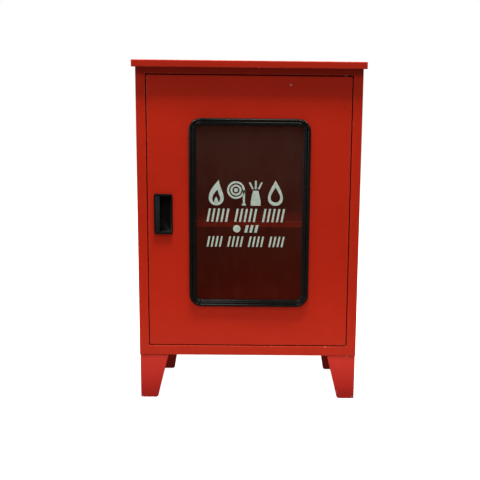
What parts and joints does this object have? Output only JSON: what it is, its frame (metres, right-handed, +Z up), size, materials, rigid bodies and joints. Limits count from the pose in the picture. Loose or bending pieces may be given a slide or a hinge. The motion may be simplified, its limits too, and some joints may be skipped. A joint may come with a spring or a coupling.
{
  "type": "standpipe cabinet",
  "caption": "Free-standing red sheet-steel fire hose cabinet on legs, with a glazed hinged door, a recessed pull latch and an inner shelf.",
  "frame": {"origin": "on the floor, under the middle of the lid", "axes": "+Z up; the door faces -Y; +X is to the right of someone who faces the door, towards its hinge"},
  "size_m": [0.514, 0.23, 0.7752],
  "materials": {
    "red_paint": "satin red powder coat",
    "black_rubber": "semi-gloss black rubber moulding",
    "black_plastic": "black moulded plastic, slightly glossy",
    "tinted_glass": "dark tinted glass, smooth",
    "zinc_steel": "zinc-plated steel",
    "nylon": "natural nylon"
  },
  "bodies": {
    "carcass": {"left_side_panel": "red_paint", "right_side_panel": "red_paint", "back_panel": "red_paint", "floor_panel": "red_paint", "bottom_rail": "red_paint", "header_rail": "red_paint", "roof_lid": "red_paint", "shelf": "red_paint", "shelf_cleat_left": "red_paint", "shelf_cleat_right": "red_paint", "front_left_leg": "red_paint", "front_right_leg": "red_paint", "rear_left_leg": "red_paint", "rear_right_leg": "red_paint", "upper_hinge_plate": "zinc_steel", "lower_hinge_plate": "zinc_steel", "upper_hinge_pin": "zinc_steel", "lower_hinge_pin": "zinc_steel", "door_bumper_lower": "black_rubber", "door_bumper_upper": "black_rubber", "leg_bolt_1": "zinc_steel", "leg_bolt_2": "zinc_steel", "leg_bolt_3": "zinc_steel", "leg_bolt_4": "zinc_steel", "leg_bolt_5": "zinc_steel", "leg_bolt_6": "zinc_steel", "leg_bolt_7": "zinc_steel", "leg_bolt_8": "zinc_steel", "leg_nut_1": "zinc_steel", "leg_nut_2": "zinc_steel", "leg_nut_3": "zinc_steel", "leg_nut_4": "zinc_steel", "leg_nut_5": "zinc_steel", "leg_nut_6": "zinc_steel", "leg_nut_7": "zinc_steel", "leg_nut_8": "zinc_steel"},
    "door": {"door_panel": "red_paint", "window_gasket": "black_rubber", "window_glass": "tinted_glass", "handle_housing": "black_plastic", "paddle_pin": "zinc_steel", "clamp_bracket": "zinc_steel", "latch_guide": "zinc_steel", "handle_screw_lower": "zinc_steel", "handle_screw_upper": "zinc_steel", "latch_spring": "zinc_steel", "upper_hinge_bush": "nylon", "lower_hinge_bush": "nylon"},
    "paddle": {"handle_paddle": "black_plastic"},
    "latch": {"latch_tongue": "zinc_steel"}
  },
  "joints": [
    {"name": "door_hinge", "type": "hinge", "parent": "carcass", "child": "door", "pos_m": [0.2135, -0.094, 0.43565], "axis": [0, 0, 1], "range_deg": [0, 130]},
    {"name": "paddle_pull", "type": "hinge", "parent": "door", "child": "paddle", "pos_m": [-0.2077, -0.103, 0.43455], "axis": [0, 0, -1], "range_deg": [0, 20.2]},
    {"name": "latch_slide", "type": "slide", "parent": "door", "child": "latch", "axis": [1, 0, 0], "range_m": [0, 0.0084], "stiffness_N_per_m": 150, "springref_m": -0.02, "deforming": ["latch_spring"]}
  ],
  "couplings": [
    {"joint": "paddle_pull", "follows": "latch_slide", "rad_per_m": 41.667}
  ]
}
